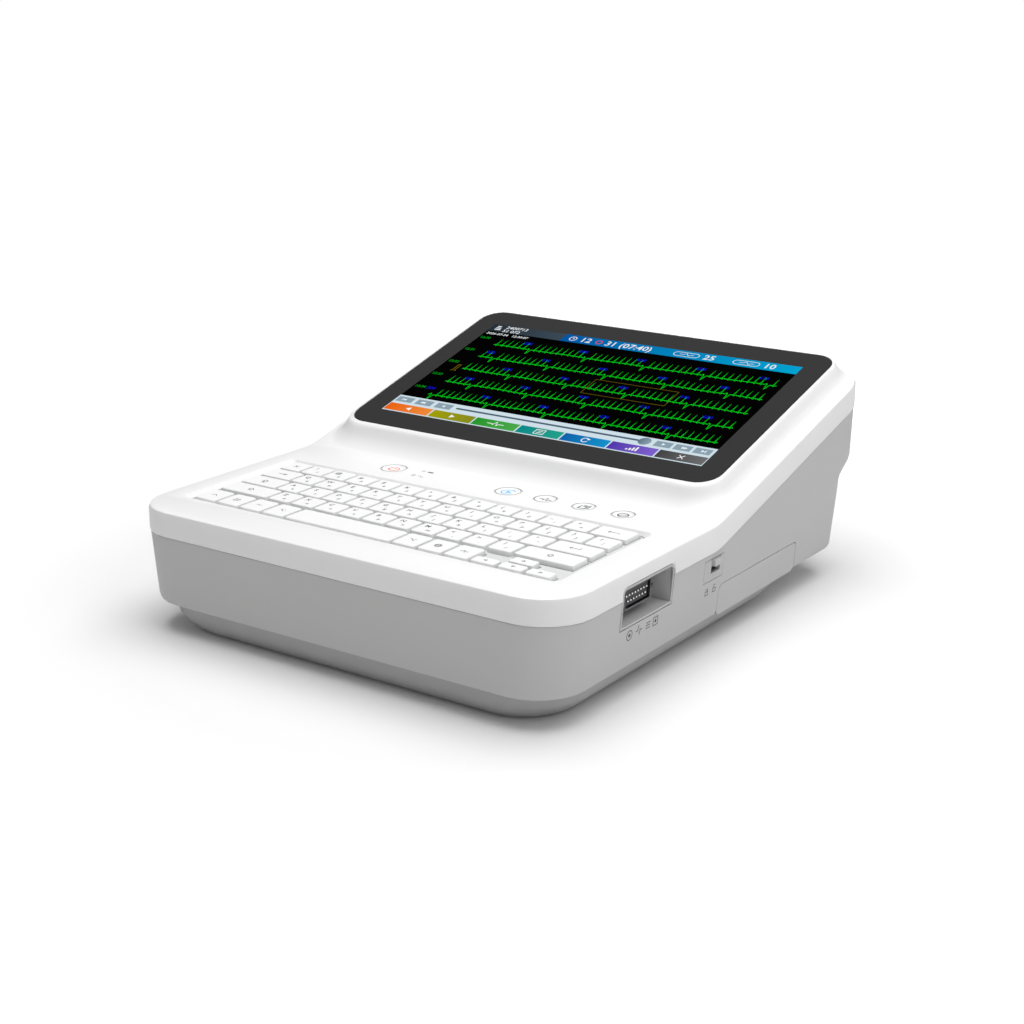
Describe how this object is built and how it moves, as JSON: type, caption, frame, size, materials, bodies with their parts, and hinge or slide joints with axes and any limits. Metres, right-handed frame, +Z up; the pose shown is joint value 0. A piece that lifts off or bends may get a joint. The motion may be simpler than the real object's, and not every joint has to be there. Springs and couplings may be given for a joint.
{
  "type": "resting ecg machine",
  "caption": "Table-top resting ECG recorder with a sloping glass touch screen, a sprung keyboard, round buttons, a side patient socket and a sliding paper drawer.",
  "frame": {"origin": "middle of the footprint on the table", "axes": "+Z up, the operator on the -Y side, the patient socket and the paper drawer on the +X side"},
  "size_m": [0.2841, 0.3356, 0.1273],
  "materials": {
    "cover_white": "moulded, fine satin",
    "case_grey": "moulded, fine satin",
    "pan_grey": "moulded, satin",
    "screen_glass": "polished, black printed behind",
    "key_white": "moulded, satin",
    "button_white": "moulded, satin",
    "rubber_black": "moulded",
    "board_green": "solder mask",
    "dark_plastic": "moulded",
    "lamp_lens": "clear moulded",
    "plated_metal": "plated",
    "steel_sheet": "zinc plated sheet",
    "gear_plastic": "moulded",
    "paper": "uncoated thermal paper"
  },
  "bodies": {
    "housing": {"upper_cover": "cover_white", "lower_case": "case_grey", "base_pan": "pan_grey", "battery_door": "pan_grey", "foot_front_left": "rubber_black", "foot_front_right": "rubber_black", "foot_rear_left": "rubber_black", "foot_rear_right": "rubber_black", "screen_glass": "screen_glass", "display_panel": "dark_plastic", "key_plate": "key_white", "key_board": "board_green", "button_board": "board_green", "battery_light": "lamp_lens", "mains_light": "lamp_lens", "socket_well": "case_grey", "patient_socket": "plated_metal", "latch_plate": "case_grey", "printer_chassis": "steel_sheet", "print_head": "dark_plastic", "feed_motor": "steel_sheet", "main_board": "board_green", "power_supply": "board_green", "battery_pack": "dark_plastic", "loudspeaker": "dark_plastic", "mains_inlet": "dark_plastic", "port_block": "dark_plastic", "earth_stud": "plated_metal"},
    "paper_drawer": {"paper_drawer": "case_grey", "paper_stack": "paper"},
    "latch_slider": {"latch_slider": "case_grey"},
    "platen": {"platen_roller": "rubber_black", "platen_gear": "gear_plastic"},
    "drive_pinion": {"drive_pinion": "gear_plastic"},
    "escape_key": {"escape_key": "key_white"},
    "backspace_key": {"backspace_key": "key_white"},
    "tab_key": {"tab_key": "key_white"},
    "caps_lock_key": {"caps_lock_key": "key_white"},
    "enter_key": {"enter_key": "key_white"},
    "left_shift_key": {"left_shift_key": "key_white"},
    "right_shift_key": {"right_shift_key": "key_white"},
    "control_key": {"control_key": "key_white"},
    "function_key": {"function_key": "key_white"},
    "accent_key": {"accent_key": "key_white"},
    "left_alt_key": {"left_alt_key": "key_white"},
    "space_key": {"space_key": "key_white"},
    "right_alt_key": {"right_alt_key": "key_white"},
    "language_key": {"language_key": "key_white"},
    "filter_key": {"filter_key": "key_white"},
    "left_arrow_key": {"left_arrow_key": "key_white"},
    "up_arrow_key": {"up_arrow_key": "key_white"},
    "down_arrow_key": {"down_arrow_key": "key_white"},
    "right_arrow_key": {"right_arrow_key": "key_white"},
    "power_button": {"power_button": "button_white"},
    "auto_button": {"auto_button": "button_white"},
    "rhythm_button": {"rhythm_button": "button_white"},
    "copy_button": {"copy_button": "button_white"},
    "escape_button": {"escape_button": "button_white"}
  },
  "joints": [
    {"name": "escape_key_press", "type": "slide", "parent": "housing", "child": "escape_key", "axis": [0, 0, -1], "range_m": [0, 0.0015], "stiffness_N_per_m": 200, "springref_m": -0.0015},
    {"name": "backspace_key_press", "type": "slide", "parent": "housing", "child": "backspace_key", "axis": [0, 0, -1], "range_m": [0, 0.0015], "stiffness_N_per_m": 200, "springref_m": -0.0015},
    {"name": "tab_key_press", "type": "slide", "parent": "housing", "child": "tab_key", "axis": [0, 0, -1], "range_m": [0, 0.0015], "stiffness_N_per_m": 200, "springref_m": -0.0015},
    {"name": "caps_lock_key_press", "type": "slide", "parent": "housing", "child": "caps_lock_key", "axis": [0, 0, -1], "range_m": [0, 0.0015], "stiffness_N_per_m": 200, "springref_m": -0.0015},
    {"name": "enter_key_press", "type": "slide", "parent": "housing", "child": "enter_key", "axis": [0, 0, -1], "range_m": [0, 0.0015], "stiffness_N_per_m": 200, "springref_m": -0.0015},
    {"name": "left_shift_key_press", "type": "slide", "parent": "housing", "child": "left_shift_key", "axis": [0, 0, -1], "range_m": [0, 0.0015], "stiffness_N_per_m": 200, "springref_m": -0.0015},
    {"name": "right_shift_key_press", "type": "slide", "parent": "housing", "child": "right_shift_key", "axis": [0, 0, -1], "range_m": [0, 0.0015], "stiffness_N_per_m": 200, "springref_m": -0.0015},
    {"name": "control_key_press", "type": "slide", "parent": "housing", "child": "control_key", "axis": [0, 0, -1], "range_m": [0, 0.0015], "stiffness_N_per_m": 200, "springref_m": -0.0015},
    {"name": "function_key_press", "type": "slide", "parent": "housing", "child": "function_key", "axis": [0, 0, -1], "range_m": [0, 0.0015], "stiffness_N_per_m": 200, "springref_m": -0.0015},
    {"name": "accent_key_press", "type": "slide", "parent": "housing", "child": "accent_key", "axis": [0, 0, -1], "range_m": [0, 0.0015], "stiffness_N_per_m": 200, "springref_m": -0.0015},
    {"name": "left_alt_key_press", "type": "slide", "parent": "housing", "child": "left_alt_key", "axis": [0, 0, -1], "range_m": [0, 0.0015], "stiffness_N_per_m": 200, "springref_m": -0.0015},
    {"name": "space_key_press", "type": "slide", "parent": "housing", "child": "space_key", "axis": [0, 0, -1], "range_m": [0, 0.0015], "stiffness_N_per_m": 200, "springref_m": -0.0015},
    {"name": "right_alt_key_press", "type": "slide", "parent": "housing", "child": "right_alt_key", "axis": [0, 0, -1], "range_m": [0, 0.0015], "stiffness_N_per_m": 200, "springref_m": -0.0015},
    {"name": "language_key_press", "type": "slide", "parent": "housing", "child": "language_key", "axis": [0, 0, -1], "range_m": [0, 0.0015], "stiffness_N_per_m": 200, "springref_m": -0.0015},
    {"name": "filter_key_press", "type": "slide", "parent": "housing", "child": "filter_key", "axis": [0, 0, -1], "range_m": [0, 0.0015], "stiffness_N_per_m": 200, "springref_m": -0.0015},
    {"name": "left_arrow_key_press", "type": "slide", "parent": "housing", "child": "left_arrow_key", "axis": [0, 0, -1], "range_m": [0, 0.0015], "stiffness_N_per_m": 200, "springref_m": -0.0015},
    {"name": "up_arrow_key_press", "type": "slide", "parent": "housing", "child": "up_arrow_key", "axis": [0, 0, -1], "range_m": [0, 0.0015], "stiffness_N_per_m": 200, "springref_m": -0.0015},
    {"name": "down_arrow_key_press", "type": "slide", "parent": "housing", "child": "down_arrow_key", "axis": [0, 0, -1], "range_m": [0, 0.0015], "stiffness_N_per_m": 200, "springref_m": -0.0015},
    {"name": "right_arrow_key_press", "type": "slide", "parent": "housing", "child": "right_arrow_key", "axis": [0, 0, -1], "range_m": [0, 0.0015], "stiffness_N_per_m": 200, "springref_m": -0.0015},
    {"name": "power_button_press", "type": "slide", "parent": "housing", "child": "power_button", "axis": [0, 0, -1], "range_m": [0, 0.0008], "stiffness_N_per_m": 600, "springref_m": -0.0008},
    {"name": "auto_button_press", "type": "slide", "parent": "housing", "child": "auto_button", "axis": [0, 0, -1], "range_m": [0, 0.0008], "stiffness_N_per_m": 600, "springref_m": -0.0008},
    {"name": "rhythm_button_press", "type": "slide", "parent": "housing", "child": "rhythm_button", "axis": [0, 0, -1], "range_m": [0, 0.0008], "stiffness_N_per_m": 600, "springref_m": -0.0008},
    {"name": "copy_button_press", "type": "slide", "parent": "housing", "child": "copy_button", "axis": [0, 0, -1], "range_m": [0, 0.0008], "stiffness_N_per_m": 600, "springref_m": -0.0008},
    {"name": "escape_button_press", "type": "slide", "parent": "housing", "child": "escape_button", "axis": [0, 0, -1], "range_m": [0, 0.0008], "stiffness_N_per_m": 600, "springref_m": -0.0008},
    {"name": "latch_slide", "type": "slide", "parent": "housing", "child": "latch_slider", "axis": [0, 0, -1], "range_m": [0, 0.004]},
    {"name": "drawer_slide", "type": "slide", "parent": "housing", "child": "paper_drawer", "axis": [1, 0, 0], "range_m": [0, 0.08]},
    {"name": "platen_spin", "type": "hinge", "parent": "housing", "child": "platen", "pos_m": [0.11319, 0.03555, 0.0432], "axis": [0, 1, 0], "continuous": true},
    {"name": "pinion_spin", "type": "hinge", "parent": "housing", "child": "drive_pinion", "pos_m": [0.09639, 0.0777, 0.0432], "axis": [0, 1, 0], "continuous": true}
  ],
  "couplings": [
    {"joint": "pinion_spin", "follows": "platen_spin", "ratio": -2.5}
  ]
}
